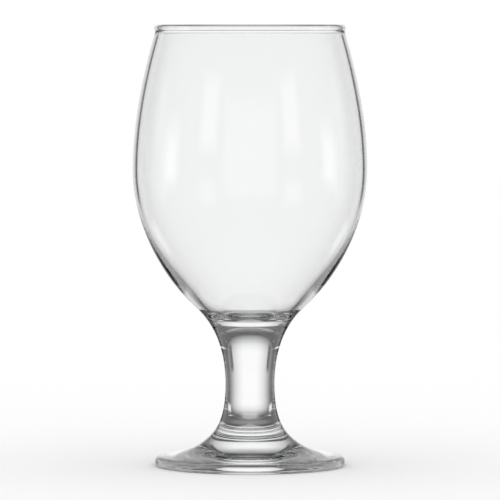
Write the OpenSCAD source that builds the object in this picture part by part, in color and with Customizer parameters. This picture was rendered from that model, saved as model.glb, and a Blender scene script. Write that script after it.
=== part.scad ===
// Stemmed goblet in clear soda glass.
// The blown bowl, the pressed stem and the pressed foot are three gathers of glass,
// fused face to face at two flat seams that the outline runs straight across.
// The outline is a chain of smooth bends between stations, each with a place and a lean.
// A lean is the angle between straight down and the wall as it is followed downward,
// positive where the wall goes outward. The frame is +Z up, origin at the centre of the
// plane that the foot stands on.

/* [Rim] */
// Height of the whole goblet
goblet_h = 155; // [140:1:180]
// Height of the rounded bead that runs round the rim
bead_h = 2.4; // [1.6:0.1:3.2]
// How far the bead stands out past the wall's outside
bead_out = 0.8; // [0.4:0.05:1.2]
// How far the bead stands out past the wall's inside
bead_in = 0.1; // [0:0.05:0.6]
// Outer diameter of the mouth just under the bead
mouth_d = 66.8; // [56:0.2:78]
// Drop from the bead to where the mouth is measured
mouth_drop = 0.6; // [0.2:0.1:3]
// Lean of the wall at the mouth, in degrees
mouth_lean = 16.8; // [5:0.1:25]

/* [Bowl] */
// Diameter of the belly, the widest place
belly_d = 82.4; // [72:0.2:92]
// Height of the belly above the table
belly_z = 104.2; // [90:0.2:120]
// Diameter where the bowl turns into the stem
neck_d = 38.5; // [34:0.2:46]
// Height where the bowl turns into the stem
neck_z = 56; // [48:0.2:64]
// Lean of the outline at the neck, in degrees, inward
neck_lean = 48.5; // [35:0.5:60]

/* [Bowl wall] */
// Wall thickness at the mouth
mouth_wall = 1.45; // [1:0.05:2.4]
// Wall thickness at the belly
belly_wall = 1.5; // [1.2:0.05:2.6]
// Thickness of the heel, measured level from the neck's outline to the inside
heel_wall = 3.1; // [2.4:0.1:5]
// Height of the heel inside above the neck
heel_rise = 1; // [0.5:0.1:3]
// Lean of the inside wall at the heel, in degrees, inward
heel_lean = 47.5; // [42:0.5:54]
// Depth of the dished floor inside, below the heel
floor_dish = 4.2; // [3:0.1:6]

/* [Stem] */
// Diameter at the waist, the narrowest place
waist_d = 17.3; // [13:0.1:22]
// Height of the waist above the table
waist_z = 29; // [24:0.2:36]

/* [Foot] */
// Diameter of the foot
foot_d = 67.2; // [58:0.2:80]
// Diameter where the stem's flare runs out onto the foot
flare_d = 39.5; // [32:0.2:46]
// Height where the flare runs out onto the foot
flare_z = 6.3; // [5.2:0.1:9]
// Lean of the outline where the flare runs out, in degrees
flare_lean = 60.8; // [50:0.2:70]
// Height of the foot's top face where it rolls over into the edge
crest_z = 3.6; // [2.8:0.1:4.6]
// Distance that the edge takes to roll over, measured level
crest_run = 2.1; // [1.4:0.1:3.2]
// Slope of the foot's top face at the edge, in degrees below level
crest_slope = 13; // [4:0.5:20]
// Radius of the lower edge, also the height of the foot's widest place
edge_r = 1.2; // [0.8:0.05:1.8]
// Width of the ring that the goblet stands on
ring_w = 3; // [2:0.1:6]
// Height of the hollow under the foot
hollow_h = 1.4; // [0.8:0.1:2.4]
// Slope at which the hollow rises from the ring, in degrees
hollow_slope = 6; // [4:0.5:14]

/* [Hidden] */

// Sides of a full turn, and steps along one bend, the foot's edge and the bead
turn_sides = 128;
bend_steps = 18;
edge_steps = 8;
bead_steps = 20;

// Angles round the bead at which it leaves the wall outside and meets it again inside
bead_from = -50;
bead_to = 230;

// How strongly each end of a bend holds its lean, as shares of the bend's span
mouth_bend_shares = [0.237, 0.373];
shoulder_bend_shares = [0.403, 0.235];
neck_bend_shares = [0.322, 0.389];
flare_bend_shares = [0.548, 0.333];
foot_bend_shares = [0.3, 0.34];
edge_bend_shares = [0.36, 0.46];
hollow_bend_shares = [0.35, 0.35];
inner_mouth_bend_shares = [0.237, 0.373];
inner_shoulder_bend_shares = [0.423, 0.28];
floor_bend_shares = [0.27, 0.58];

// Where the two fused seams lie, as shares of the bend that each one crosses
bowl_seam_share = 0.38;
foot_seam_share = 0.48;

plumb = 0;
level_out = 90;
level_in = -90;

// Stations of the outside, from the mouth down to the table
mouth = [mouth_d / 2, goblet_h - bead_h - mouth_drop];
belly = [belly_d / 2, belly_z];
neck = [neck_d / 2, neck_z];
waist = [waist_d / 2, waist_z];
flare = [flare_d / 2, flare_z];
crest = [foot_d / 2 - crest_run, crest_z];
edge = [foot_d / 2, edge_r];
ring_out_r = foot_d / 2 - edge_r;
ring_in_r = ring_out_r - ring_w;

// Stations of the inside, each a wall's thickness in from the outside
inner_mouth = mouth - [mouth_wall / cos(mouth_lean), 0];
inner_belly = belly - [belly_wall, 0];
heel = neck + [-heel_wall, heel_rise];
floor_z = heel[1] - floor_dish;

// The bead stands on the wall as the wall would be at the bead's middle height
bead_z = goblet_h - bead_h / 2;
wall_top_r = mouth[0] - (bead_z - mouth[1]) * tan(mouth_lean);
wall_top_w = mouth_wall / cos(mouth_lean);
bead_out_r = wall_top_r + bead_out;
bead_in_r = wall_top_r - wall_top_w - bead_in;

mouth_bend = bend(mouth, mouth_lean, belly, plumb, mouth_bend_shares);
shoulder_bend = bend(belly, plumb, neck, -neck_lean, shoulder_bend_shares);
neck_bend = bend(neck, -neck_lean, waist, plumb, neck_bend_shares);
flare_bend = bend(waist, plumb, flare, flare_lean, flare_bend_shares);
foot_bend = bend(flare, flare_lean, crest, level_out - crest_slope, foot_bend_shares);
edge_bend = bend(crest, level_out - crest_slope, edge, plumb, edge_bend_shares);
hollow_bend = bend([ring_in_r, 0], level_in - hollow_slope, [0, hollow_h], level_in, hollow_bend_shares);
inner_mouth_bend = bend(inner_mouth, mouth_lean, inner_belly, plumb, inner_mouth_bend_shares);
inner_shoulder_bend = bend(inner_belly, plumb, heel, -heel_lean, inner_shoulder_bend_shares);
floor_bend = bend(heel, -heel_lean, [0, floor_z], level_in, floor_bend_shares);

bowl_seam = place_on(neck_bend, bowl_seam_share);
foot_seam = place_on(flare_bend, foot_seam_share);

// A step of the given length along a lean
function step_along(lean, length) = [length * sin(lean), -length * cos(lean)];

// The four control points of a smooth bend from one station to the next
function bend(from, from_lean, to, to_lean, hold_shares) =
    let (span = norm(to - from))
    [
        from,
        from + step_along(from_lean, hold_shares[0] * span),
        to - step_along(to_lean, hold_shares[1] * span),
        to
    ];

// The point at a share of the way along a bend
function place_on(b, share) =
    let (rest = 1 - share)
    pow(rest, 3) * b[0]
        + 3 * pow(rest, 2) * share * b[1]
        + 3 * rest * pow(share, 2) * b[2]
        + pow(share, 3) * b[3];

// The points of a bend between two shares, without the first one, which the last bend gave
function trace(b, first_share = 0, last_share = 1, steps = bend_steps) =
    [for (i = [1:steps]) place_on(b, first_share + (last_share - first_share) * i / steps)];

function reversed(list) = [for (i = [len(list) - 1:-1:0]) list[i]];

// The rounded bead, over the top from the wall's outside to its inside
function bead() =
    let (middle_r = (bead_out_r + bead_in_r) / 2, half_w = (bead_out_r - bead_in_r) / 2)
    [
        for (i = [0:bead_steps])
            let (a = bead_from + (bead_to - bead_from) * i / bead_steps)
            [middle_r + half_w * cos(a), bead_z + bead_h / 2 * sin(a)]
    ];

// Lower edge of the foot, a quarter round from the widest place to the ring
function lower_edge() =
    [
        for (i = [1:edge_steps])
            let (a = 90 * i / edge_steps)
            [ring_out_r + edge_r * cos(a), edge_r - edge_r * sin(a)]
    ];

module turned() {
    rotate_extrude($fn = turn_sides) children();
}

// Blown bowl: the wall thins from the heel to the mouth, and a bead closes the rim
module bowl() {
    outside = concat(
        [mouth],
        trace(mouth_bend),
        trace(shoulder_bend),
        trace(neck_bend, 0, bowl_seam_share, edge_steps)
    );
    inside = concat(
        [inner_mouth],
        trace(inner_mouth_bend),
        trace(inner_shoulder_bend),
        trace(floor_bend)
    );
    color([0.9, 0.93, 0.93, 0.45])
        turned()
            polygon(concat(outside, [[0, bowl_seam[1]]], reversed(inside), reversed(bead())));
}

// Pressed stem: solid, waisted, between the two seams
module stem() {
    outside = concat(
        [bowl_seam],
        trace(neck_bend, bowl_seam_share, 1),
        trace(flare_bend, 0, foot_seam_share)
    );
    color([0.82, 0.87, 0.88, 0.6])
        turned()
            polygon(concat([[0, bowl_seam[1]]], outside, [[0, foot_seam[1]]]));
}

// Pressed foot: a disc with a rolled edge that stands on a ring round a shallow hollow
module foot() {
    top = concat(
        [foot_seam],
        trace(flare_bend, foot_seam_share, 1),
        trace(foot_bend),
        trace(edge_bend, steps = edge_steps),
        lower_edge()
    );
    underside = concat([[ring_in_r, 0]], trace(hollow_bend));
    color([0.76, 0.83, 0.85, 0.7])
        turned()
            polygon(concat([[0, foot_seam[1]]], top, underside));
}

bowl();
stem();
foot();
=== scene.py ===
import math

import bpy
import numpy as np
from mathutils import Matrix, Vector


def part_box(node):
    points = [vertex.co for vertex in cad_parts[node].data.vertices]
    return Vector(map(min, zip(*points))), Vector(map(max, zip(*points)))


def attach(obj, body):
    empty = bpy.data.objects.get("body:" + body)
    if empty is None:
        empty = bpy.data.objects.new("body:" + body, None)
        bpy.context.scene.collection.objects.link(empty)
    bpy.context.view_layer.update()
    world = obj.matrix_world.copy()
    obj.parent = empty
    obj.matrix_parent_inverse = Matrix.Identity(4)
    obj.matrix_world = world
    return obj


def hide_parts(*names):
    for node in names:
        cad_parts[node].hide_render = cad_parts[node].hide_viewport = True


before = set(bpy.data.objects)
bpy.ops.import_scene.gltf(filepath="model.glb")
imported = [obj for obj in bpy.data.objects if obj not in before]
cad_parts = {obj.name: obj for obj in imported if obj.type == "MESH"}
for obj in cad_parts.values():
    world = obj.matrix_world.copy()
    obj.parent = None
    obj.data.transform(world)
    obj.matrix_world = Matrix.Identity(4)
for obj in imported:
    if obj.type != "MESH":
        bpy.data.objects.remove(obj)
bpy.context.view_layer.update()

# Sizes that the frame gives, in metres
FOOT_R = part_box("foot")[1].x
BELLY_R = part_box("bowl")[1].x
GOBLET_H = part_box("bowl")[1].z

# The outside's other stations, in metres, and the leans of the wall there, in degrees.
# A lean is the angle between straight down and the wall as it is followed downward.
MOUTH_R = 0.0334
MOUTH_DROP = 0.0006
MOUTH_LEAN = 16.8
BELLY_Z = 0.1042
NECK_R = 0.01925
NECK_Z = 0.056
NECK_LEAN = 48.5
WAIST_R = 0.00865
WAIST_Z = 0.029
FLARE_R = 0.01975
FLARE_Z = 0.0063
FLARE_LEAN = 60.8
CREST_RUN = 0.0021
CREST_Z = 0.0036
CREST_SLOPE = 13
EDGE_R = 0.0012
RING_W = 0.003
HOLLOW_H = 0.0014
HOLLOW_SLOPE = 6

# Angles round the foot's lower edge, from its widest place down to the ring
EDGE_FROM = 0
EDGE_TO = -90

# The wall and the inside
MOUTH_WALL = 0.00145
BELLY_WALL = 0.0015
HEEL_WALL = 0.0031
HEEL_RISE = 0.001
HEEL_LEAN = 47.5
FLOOR_DISH = 0.0042

# The bead, and the angles round it at which it leaves the wall outside and meets it again inside
BEAD_H = 0.0024
BEAD_OUT = 0.0008
BEAD_IN = 0.0001
BEAD_FROM = -50
BEAD_TO = 230

# Leans of a wall that is plumb, and of one that runs level outward or inward
PLUMB = 0
LEVEL_OUT = 90
LEVEL_IN = -90

# How strongly each end of a bend holds its lean, as shares of the bend's span
MOUTH_SHARES = (0.237, 0.373)
SHOULDER_SHARES = (0.403, 0.235)
NECK_SHARES = (0.322, 0.389)
FLARE_SHARES = (0.548, 0.333)
FOOT_SHARES = (0.3, 0.34)
EDGE_SHARES = (0.36, 0.46)
HOLLOW_SHARES = (0.35, 0.35)
INNER_SHOULDER_SHARES = (0.423, 0.28)
FLOOR_SHARES = (0.27, 0.58)

# Where the two fused seams lie, as shares of the bend that each one crosses
BOWL_SEAM_SHARE = 0.38
FOOT_SEAM_SHARE = 0.48

# How finely the glass is drawn: sides of a full turn, and steps along a run of the outline
SIDES = 256
LONG_STEPS = 64
MIDDLE_STEPS = 40
SHORT_STEPS = 24
EDGE_STEPS = 16

# A ring smaller than this is drawn as one point, and points nearer than this are one, in metres
POLE_R = 0.00004
SAME_PLACE = 0.000001

# The glass: its tint, the length of its waves in metres, how many times as tall as wide they
# are, and their depth in metres. The haze is where the polish is a little less than perfect.
GLASS = {
    "bowl": ((0.994, 0.998, 0.997), 0.014, 3.0, 0.000012),
    "stem": ((0.99, 0.996, 0.994), 0.009, 0.5, 0.00002),
    "foot": ((0.985, 0.993, 0.991), 0.008, 1.0, 0.000025),
}
GLASS_IOR = 1.52
WAVE_DETAIL = 2.0
WAVE_FINE_SHARE = 0.4
HAZE_SIZE = 0.02
HAZE_DETAIL = 4.0
HAZE_LOW = 0.5
HAZE_HIGH = 0.8
HAZE_ROUGHNESS = 0.03

# The camera's distance and height, what it aims at and how wide its picture is there, in
# metres, and the width of its sensor in millimetres
CAMERA_DISTANCE = 1.54
CAMERA_Z = 0.155
AIM_Z = 0.0759
PICTURE_WIDTH = 0.1757
SENSOR_WIDTH = 36

# How many times light may pass through glass, and how many times it may be thrown back
PASSES = 32
REFLECTIONS = 16

# Half the width of the table top, in metres
TABLE_HALF = 3.0

# The brightness of white, for the table top and for the room as the eye sees it
WHITE = 1.0

# The surroundings, as the glass shows them. Each stop is an angle in degrees and the brightness
# there. Across is turned about the axis from straight behind the goblet as the camera sees it,
# the same to both sides, and up is above or below level.
ACROSS_SPAN = (0, 180)
UP_SPAN = (-90, 90)

# The bright window behind the goblet
WINDOW_ACROSS = (
    (0, 1), (10, 1), (18, 0.88), (26, 0.7), (32, 0.5), (38, 0.3), (44, 0.14), (50, 0.05),
    (180, 0.05),
)
WINDOW_UP = (
    (-90, 0), (-36, 0), (-26, 0.4), (-20, 0.8), (-14, 1), (14, 1), (20, 0.85), (26, 0.6),
    (32, 0.4), (42, 0.15), (50, 0.05), (90, 0.08),
)

# The strip of table straight behind the goblet, and the dark room round everything
TABLE_ACROSS = ((0, 1), (10, 1), (22, 0), (180, 0))
TABLE_UP = ((-90, 0.3), (-50, 0.4), (-40, 0.5), (-30, 0.55), (-20, 0.6), (-10, 0), (90, 0))
DARK_ROOM = ((-90, 0.3), (-65, 0.2), (-50, 0.08), (90, 0.08))

# The other windows: from and to across, from and to up, the width of their soft edge and their
# brightness. In turn they are a weak one and a bright one beside the goblet, a weak one behind
# the camera, a bright one at each corner behind the camera and one at each corner ahead of it.
# The one that runs past 180 across has no edge on that side.
OTHER_WINDOWS = (
    (58, 84, -20, 20, 8, 0.3),
    (78, 102, -14, 8, 6, 0.9),
    (148, 200, -24, 24, 8, 0.35),
    (123, 147, -26, -4, 6, 0.9),
    (36, 54, -34, -16, 5, 0.9),
)

# What the glass throws back: bright sides and a bright room behind the camera, and the middle
# of the window behind the goblet
SHINE_ACROSS = ((0, 0), (32, 0), (40, 1), (180, 1))
SHINE_UP = ((-90, 1), (20, 1), (34, 0.6), (50, 0.2), (90, 0.15))
BACK_SHINE_ACROSS = ((0, 1), (8, 0.9), (14, 0.6), (20, 0.3), (26, 0), (180, 0))
BACK_SHINE_UP = (
    (-90, 0), (-30, 0), (-14, 0.4), (-6, 0.9), (8, 1), (14, 0.75), (20, 0.5), (30, 0.1),
    (40, 0), (90, 0),
)

# Grey cards that stand to both sides behind the goblet: their brightness, their two sides, how
# far back they stand, their two ends and how far they fade out there, in metres
CARD_GREY = 0.14
CARD_IN = 0.165
CARD_OUT = 0.22
CARD_BACK = 0.3
CARD_LOW = 0.035
CARD_TOP = 0.22
CARD_FADE = 0.03


def step_along(lean, length):
    """A step of the given length along a lean."""
    a = math.radians(lean)
    return np.array([length * math.sin(a), -length * math.cos(a)])


def bend(start, start_lean, end, end_lean, shares):
    """The four control points of a smooth bend from one station to the next."""
    start = np.array(start, float)
    end = np.array(end, float)
    span = np.linalg.norm(end - start)
    out = start + step_along(start_lean, shares[0] * span)
    back = end - step_along(end_lean, shares[1] * span)
    return start, out, back, end


def trace(b, steps, first=0.0, last=1.0):
    """Points of a bend between two shares of the way along it, both ends included."""
    t = np.linspace(first, last, steps + 1)[:, None]
    return (
        (1 - t) ** 3 * b[0]
        + 3 * (1 - t) ** 2 * t * b[1]
        + 3 * (1 - t) * t**2 * b[2]
        + t**3 * b[3]
    )


def arc(centre, radius, height, start, end, steps):
    """Points of a part of an ellipse about centre, from one angle to another, in degrees."""
    a = np.radians(np.linspace(start, end, steps + 1))
    return np.column_stack([centre[0] + radius * np.cos(a), centre[1] + height * np.sin(a)])


def bead(mouth, level_wall):
    """The rounded bead, over the top from the wall's inside to its outside.

    It stands on the wall as the wall would be at the bead's middle height.
    """
    middle_z = GOBLET_H - BEAD_H / 2
    wall_r = mouth[0] - (middle_z - mouth[1]) * math.tan(math.radians(MOUTH_LEAN))
    out_r = wall_r + BEAD_OUT
    in_r = wall_r - level_wall - BEAD_IN
    middle = ((out_r + in_r) / 2, middle_z)
    return arc(middle, (out_r - in_r) / 2, BEAD_H / 2, BEAD_TO, BEAD_FROM, MIDDLE_STEPS)


def outline():
    """The whole outline from the floor inside, over the bead and down to the hollow.

    It comes in three runs, for the bowl, the stem and the foot.
    """
    mouth = (MOUTH_R, GOBLET_H - BEAD_H - MOUTH_DROP)
    belly = (BELLY_R, BELLY_Z)
    neck = (NECK_R, NECK_Z)
    waist = (WAIST_R, WAIST_Z)
    flare = (FLARE_R, FLARE_Z)
    crest = (FOOT_R - CREST_RUN, CREST_Z)
    crest_lean = LEVEL_OUT - CREST_SLOPE
    edge = (FOOT_R, EDGE_R)
    ring_out_r = FOOT_R - EDGE_R
    ring_in = (ring_out_r - RING_W, 0)
    hollow_top = (0, HOLLOW_H)

    level_wall = MOUTH_WALL / math.cos(math.radians(MOUTH_LEAN))
    inner_mouth = (mouth[0] - level_wall, mouth[1])
    inner_belly = (BELLY_R - BELLY_WALL, BELLY_Z)
    heel = (NECK_R - HEEL_WALL, NECK_Z + HEEL_RISE)
    floor_centre = (0, heel[1] - FLOOR_DISH)

    floor_bend = bend(heel, -HEEL_LEAN, floor_centre, LEVEL_IN, FLOOR_SHARES)
    inner_shoulder = bend(inner_belly, PLUMB, heel, -HEEL_LEAN, INNER_SHOULDER_SHARES)
    inner_mouth_bend = bend(inner_mouth, MOUTH_LEAN, inner_belly, PLUMB, MOUTH_SHARES)
    mouth_bend = bend(mouth, MOUTH_LEAN, belly, PLUMB, MOUTH_SHARES)
    shoulder_bend = bend(belly, PLUMB, neck, -NECK_LEAN, SHOULDER_SHARES)
    neck_bend = bend(neck, -NECK_LEAN, waist, PLUMB, NECK_SHARES)
    flare_bend = bend(waist, PLUMB, flare, FLARE_LEAN, FLARE_SHARES)
    foot_bend = bend(flare, FLARE_LEAN, crest, crest_lean, FOOT_SHARES)
    edge_bend = bend(crest, crest_lean, edge, PLUMB, EDGE_SHARES)
    hollow_bend = bend(ring_in, LEVEL_IN - HOLLOW_SLOPE, hollow_top, LEVEL_IN, HOLLOW_SHARES)

    bowl = [
        trace(floor_bend, MIDDLE_STEPS)[::-1],
        trace(inner_shoulder, LONG_STEPS)[::-1],
        trace(inner_mouth_bend, MIDDLE_STEPS)[::-1],
        bead(mouth, level_wall),
        trace(mouth_bend, MIDDLE_STEPS),
        trace(shoulder_bend, LONG_STEPS),
        trace(neck_bend, SHORT_STEPS, last=BOWL_SEAM_SHARE),
    ]
    stem = [
        trace(neck_bend, MIDDLE_STEPS, first=BOWL_SEAM_SHARE),
        trace(flare_bend, MIDDLE_STEPS, last=FOOT_SEAM_SHARE),
    ]
    foot = [
        trace(flare_bend, MIDDLE_STEPS, first=FOOT_SEAM_SHARE),
        trace(foot_bend, MIDDLE_STEPS),
        trace(edge_bend, SHORT_STEPS),
        arc((ring_out_r, EDGE_R), EDGE_R, EDGE_R, EDGE_FROM, EDGE_TO, EDGE_STEPS),
        trace(hollow_bend, LONG_STEPS),
    ]
    return [np.vstack(run) for run in (bowl, stem, foot)]


def without_repeats(run):
    """The run without the points that repeat the one before."""
    keep = [0]
    for k in range(1, len(run)):
        if np.linalg.norm(run[k] - run[keep[-1]]) > SAME_PLACE:
            keep.append(k)
    return run[keep]


def normals_of(chain):
    """Outward normals of the chain at each of its points, in the same plane."""
    along = np.gradient(chain, axis=0)
    along /= np.linalg.norm(along, axis=1)[:, None]
    return np.column_stack([-along[:, 1], along[:, 0]])


def upright(up):
    """The normal of a level face that looks up, or down."""
    return (0, 0, 1 if up else -1)


def turned(name, run, run_normals, seams):
    """The run turned about the axis, as a closed shell.

    Each seam is the number of a ring that a level disc closes, and whether the disc looks up.
    """
    angles = np.linspace(0, 2 * math.pi, SIDES, endpoint=False)
    cosines = np.cos(angles)
    sines = np.sin(angles)
    places = []
    normals = []
    rings = []
    for (r, z), (nr, nz) in zip(run, run_normals):
        if r < POLE_R:
            rings.append([len(places)] * SIDES)
            places.append((0, 0, z))
            normals.append(upright(nz > 0))
            continue
        rings.append(list(range(len(places), len(places) + SIDES)))
        places += list(zip(r * cosines, r * sines, [z] * SIDES))
        normals += list(zip(nr * cosines, nr * sines, [nz] * SIDES))

    faces = []
    corner_normals = []
    for upper, lower in zip(rings, rings[1:]):
        for j in range(SIDES):
            k = (j + 1) % SIDES
            corners = [upper[j], lower[j], lower[k], upper[k]]
            face = list(dict.fromkeys(corners))
            faces.append(face)
            corner_normals += [normals[v] for v in face]
    walls = len(faces)
    for number, up in seams:
        ring = rings[number]
        middle = len(places)
        places.append((0, 0, run[number][1]))
        for j in range(SIDES):
            side = [ring[j], ring[(j + 1) % SIDES]]
            face = [*side, middle] if up else [*side[::-1], middle]
            faces.append(face)
            corner_normals += [upright(up)] * len(face)

    mesh = bpy.data.meshes.new(name)
    mesh.from_pydata(places, [], faces)
    mesh.update()
    for index, face in enumerate(mesh.polygons):
        face.use_smooth = True
        face.material_index = 0 if index < walls else 1
    mesh.normals_split_custom_set(corner_normals)
    piece = bpy.data.objects.new(name, mesh)
    bpy.context.scene.collection.objects.link(piece)
    return piece


def link(tree, value, socket):
    """Feeds the socket from a number or from another node."""
    if isinstance(value, (int, float)):
        socket.default_value = value
    else:
        tree.links.new(value, socket)


def combine(tree, how, first, second=0.0):
    """One or two values worked on by the named operation."""
    node = tree.nodes.new("ShaderNodeMath")
    node.operation = how
    link(tree, first, node.inputs[0])
    link(tree, second, node.inputs[1])
    return node.outputs[0]


def greatest(tree, first, *others):
    """The greatest of several values."""
    for other in others:
        first = combine(tree, "MAXIMUM", first, other)
    return first


def ramp(tree, value, low, high, low_to, high_to):
    """Maps value from low..high to low_to..high_to, and holds it at the ends."""
    node = tree.nodes.new("ShaderNodeMapRange")
    node.inputs["From Min"].default_value = low
    node.inputs["From Max"].default_value = high
    node.inputs["To Min"].default_value = low_to
    node.inputs["To Max"].default_value = high_to
    tree.links.new(value, node.inputs["Value"])
    return node.outputs["Result"]


def band(tree, value, low, high, edge):
    """One between low and high and none beyond them, with an edge of the given width inside."""
    rising = ramp(tree, value, low, low + edge, 0, 1)
    falling = ramp(tree, value, high - edge, high, 1, 0)
    return combine(tree, "MULTIPLY", rising, falling)


def blend(tree, share, first, second):
    """The first value, which gives way to the second one by the given share."""
    node = tree.nodes.new("ShaderNodeMix")
    link(tree, share, node.inputs["Factor"])
    link(tree, first, node.inputs["A"])
    link(tree, second, node.inputs["B"])
    return node.outputs["Result"]


def new_material(name):
    """A new material and its node tree."""
    material = bpy.data.materials.new(name)
    material.use_nodes = True
    return material, material.node_tree


def bare_material(name):
    """A new material with nothing in it yet, and its node tree."""
    material, tree = new_material(name)
    tree.nodes.clear()
    return material, tree


def finish_material(tree, shader):
    """Makes the shader the surface of its material."""
    out = tree.nodes.new("ShaderNodeOutputMaterial")
    tree.links.new(shader, out.inputs["Surface"])


def mix_shaders(tree, share, first, second):
    """The first shader, which gives way to the second one by the given share."""
    mix = tree.nodes.new("ShaderNodeMixShader")
    tree.links.new(share, mix.inputs[0])
    tree.links.new(first, mix.inputs[1])
    tree.links.new(second, mix.inputs[2])
    return mix.outputs[0]


def clear_shader(tree):
    """Lets all light through as if nothing were there."""
    return tree.nodes.new("ShaderNodeBsdfTransparent").outputs[0]


def from_glass(tree):
    """One for light that comes from the glass, and none for the eye and for the table."""
    path = tree.nodes.new("ShaderNodeLightPath")
    return greatest(tree, path.outputs["Is Glossy Ray"], path.outputs["Is Transmission Ray"])


def glass(name, tint, wave_length, wave_stretch, wave_depth):
    """Clear fire-polished glass, with the faint waves that moulds and blowing leave."""
    material, tree = new_material(name)
    shader = tree.nodes["Principled BSDF"]
    shader.inputs["Base Color"].default_value = (*tint, 1)
    shader.inputs["IOR"].default_value = GLASS_IOR
    shader.inputs["Transmission Weight"].default_value = 1.0
    place = tree.nodes.new("ShaderNodeTexCoord")

    drawn = tree.nodes.new("ShaderNodeMapping")
    drawn.inputs["Scale"].default_value = (1, 1, 1 / wave_stretch)
    waves = tree.nodes.new("ShaderNodeTexNoise")
    waves.inputs["Scale"].default_value = 1 / wave_length
    waves.inputs["Detail"].default_value = WAVE_DETAIL
    waves.inputs["Roughness"].default_value = WAVE_FINE_SHARE
    bump = tree.nodes.new("ShaderNodeBump")
    bump.inputs["Strength"].default_value = 1.0
    bump.inputs["Distance"].default_value = wave_depth
    tree.links.new(place.outputs["Object"], drawn.inputs["Vector"])
    tree.links.new(drawn.outputs["Vector"], waves.inputs["Vector"])
    tree.links.new(waves.outputs["Fac"], bump.inputs["Height"])
    tree.links.new(bump.outputs["Normal"], shader.inputs["Normal"])

    haze = tree.nodes.new("ShaderNodeTexNoise")
    haze.inputs["Scale"].default_value = 1 / HAZE_SIZE
    haze.inputs["Detail"].default_value = HAZE_DETAIL
    tree.links.new(place.outputs["Object"], haze.inputs["Vector"])
    polish = ramp(tree, haze.outputs["Fac"], HAZE_LOW, HAZE_HIGH, 0, HAZE_ROUGHNESS)
    tree.links.new(polish, shader.inputs["Roughness"])
    return material


def seam_glass():
    """The fused face between two pieces, which light passes as if it were not there."""
    material, tree = bare_material("fused_seam")
    finish_material(tree, clear_shader(tree))
    return material


def make_glass():
    """The bowl, the stem and the foot, cut out of one outline so that they run on smoothly."""
    runs = [without_repeats(run) for run in outline()]
    chain = without_repeats(np.vstack(runs))
    normals = normals_of(chain)
    bowl_end = len(runs[0])
    stem_end = bowl_end + len(runs[1]) - 1
    pieces = {
        "bowl": (slice(None, bowl_end), [(-1, False)]),
        "stem": (slice(bowl_end - 1, stem_end), [(0, True), (-1, False)]),
        "foot": (slice(stem_end - 1, None), [(0, True)]),
    }
    seam = seam_glass()
    for node, (part, seams) in pieces.items():
        piece = turned(node + "_shape", chain[part], normals[part], seams)
        piece.data.materials.append(glass(node + "_glass", *GLASS[node]))
        piece.data.materials.append(seam)
        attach(piece, "root")
        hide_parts(node)


def sheet(name, corners, material):
    """A flat sheet between four corners."""
    mesh = bpy.data.meshes.new(name)
    mesh.from_pydata(corners, [], [(0, 1, 2, 3)])
    mesh.materials.append(material)
    piece = bpy.data.objects.new(name, mesh)
    bpy.context.scene.collection.objects.link(piece)
    return piece


def table_white():
    """White to the eye, with the goblet's soft shadow on it, and clear to the glass."""
    material, tree = bare_material("table_white")
    white = tree.nodes.new("ShaderNodeBsdfDiffuse")
    white.inputs["Color"].default_value = (WHITE, WHITE, WHITE, 1)
    mix = mix_shaders(tree, from_glass(tree), white.outputs[0], clear_shader(tree))
    finish_material(tree, mix)
    return material


def make_floor():
    """A plain white table top."""
    corners = [
        (-TABLE_HALF, -TABLE_HALF, 0),
        (TABLE_HALF, -TABLE_HALF, 0),
        (TABLE_HALF, TABLE_HALF, 0),
        (-TABLE_HALF, TABLE_HALF, 0),
    ]
    floor = sheet("table_top", corners, table_white())


def card_grey():
    """Grey to the glass and clear to the eye, fading out towards the top and the foot."""
    material, tree = bare_material("card_grey")
    place = tree.nodes.new("ShaderNodeNewGeometry")
    parts = tree.nodes.new("ShaderNodeSeparateXYZ")
    tree.links.new(place.outputs["Position"], parts.inputs[0])
    height = band(tree, parts.outputs["Z"], CARD_LOW, CARD_TOP, CARD_FADE)
    solid = combine(tree, "MULTIPLY", from_glass(tree), height)
    card = tree.nodes.new("ShaderNodeEmission")
    card.inputs["Color"].default_value = (CARD_GREY, CARD_GREY, CARD_GREY, 1)
    finish_material(tree, mix_shaders(tree, solid, clear_shader(tree), card.outputs[0]))
    return material


def make_cards():
    """The cards at both sides that give the bowl its dark outline."""
    grey = card_grey()
    for side, way in (("left", -1), ("right", 1)):
        corners = [
            (way * CARD_IN, CARD_BACK, CARD_LOW),
            (way * CARD_OUT, CARD_BACK, CARD_LOW),
            (way * CARD_OUT, CARD_BACK, CARD_TOP),
            (way * CARD_IN, CARD_BACK, CARD_TOP),
        ]
        card = sheet("card_" + side, corners, grey)


def falloff(tree, angle, span, stops):
    """The brightness at an angle within the span, with straight lines between the stops."""
    low, high = span
    node = tree.nodes.new("ShaderNodeValToRGB")
    tree.links.new(ramp(tree, angle, low, high, 0, 1), node.inputs["Fac"])
    marks = node.color_ramp.elements
    while len(marks) < len(stops):
        marks.new(1.0)
    for mark, (at, level) in zip(marks, stops):
        mark.position = (at - low) / (high - low)
    for mark, (at, level) in zip(marks, stops):
        mark.color = (level, level, level, 1)
    return node.outputs["Color"]


def soft_patch(tree, across, up, across_stops, up_stops):
    """A patch whose brightness follows its stops both across and up."""
    sideways = falloff(tree, across, ACROSS_SPAN, across_stops)
    upward = falloff(tree, up, UP_SPAN, up_stops)
    return combine(tree, "MULTIPLY", sideways, upward)


def window(tree, across, up, near, far, low, high, edge, level):
    """A soft-edged bright rectangle between the four angles."""
    sideways = band(tree, across, near, far, edge)
    upward = band(tree, up, low, high, edge)
    return combine(tree, "MULTIPLY", combine(tree, "MINIMUM", sideways, upward), level)


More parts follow.
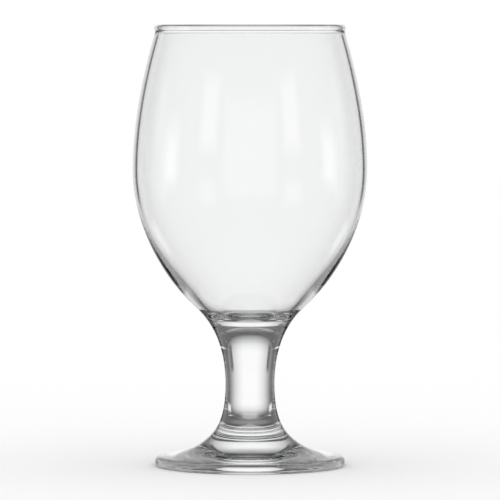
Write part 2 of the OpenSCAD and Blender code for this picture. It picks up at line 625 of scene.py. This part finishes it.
def look_angles(tree):
    """How far across and how far up the light comes from, in degrees."""
    place = tree.nodes.new("ShaderNodeTexCoord")
    parts = tree.nodes.new("ShaderNodeSeparateXYZ")
    tree.links.new(place.outputs["Generated"], parts.inputs[0])
    sideways = combine(tree, "ABSOLUTE", parts.outputs["X"])
    turn = combine(tree, "ARCTAN2", sideways, parts.outputs["Y"])
    rise = combine(tree, "ARCSINE", parts.outputs["Z"])
    degrees = math.degrees(1)
    return combine(tree, "MULTIPLY", turn, degrees), combine(tree, "MULTIPLY", rise, degrees)


def make_world():
    """Soft studio light: a white room to the eye, and a bright window behind to the glass."""
    world = bpy.data.worlds.new("studio")
    bpy.context.scene.world = world
    world.use_nodes = True
    world.cycles.sampling_method = "NONE"
    tree = world.node_tree
    across, up = look_angles(tree)
    through = greatest(
        tree,
        soft_patch(tree, across, up, WINDOW_ACROSS, WINDOW_UP),
        soft_patch(tree, across, up, TABLE_ACROSS, TABLE_UP),
        falloff(tree, up, UP_SPAN, DARK_ROOM),
        *(window(tree, across, up, *spec) for spec in OTHER_WINDOWS),
    )
    shine = greatest(
        tree,
        soft_patch(tree, across, up, SHINE_ACROSS, SHINE_UP),
        soft_patch(tree, across, up, BACK_SHINE_ACROSS, BACK_SHINE_UP),
    )
    path = tree.nodes.new("ShaderNodeLightPath")
    seen = blend(tree, path.outputs["Is Reflection Ray"], through, shine)
    plain = greatest(tree, path.outputs["Is Camera Ray"], path.outputs["Is Diffuse Ray"])
    light = tree.nodes["Background"]
    tree.links.new(blend(tree, plain, seen, WHITE), light.inputs["Color"])
    light.inputs["Strength"].default_value = 1.0


def make_camera():
    """The camera of the photograph."""
    data = bpy.data.cameras.new("camera")
    camera = bpy.data.objects.new("camera", data)
    bpy.context.scene.collection.objects.link(camera)
    camera.location = (0, -CAMERA_DISTANCE, CAMERA_Z)
    way = Vector((0, 0, AIM_Z)) - camera.location
    camera.rotation_euler = way.to_track_quat("-Z", "Y").to_euler()
    data.sensor_width = SENSOR_WIDTH
    data.lens = SENSOR_WIDTH * way.length / PICTURE_WIDTH
    bpy.context.scene.camera = camera


make_camera()
make_glass()
make_floor()
make_world()
make_cards()
scene = bpy.context.scene
scene.view_settings.view_transform = "Standard"
scene.cycles.max_bounces = PASSES
scene.cycles.transmission_bounces = PASSES
scene.cycles.glossy_bounces = REFLECTIONS
scene.cycles.transparent_max_bounces = PASSES
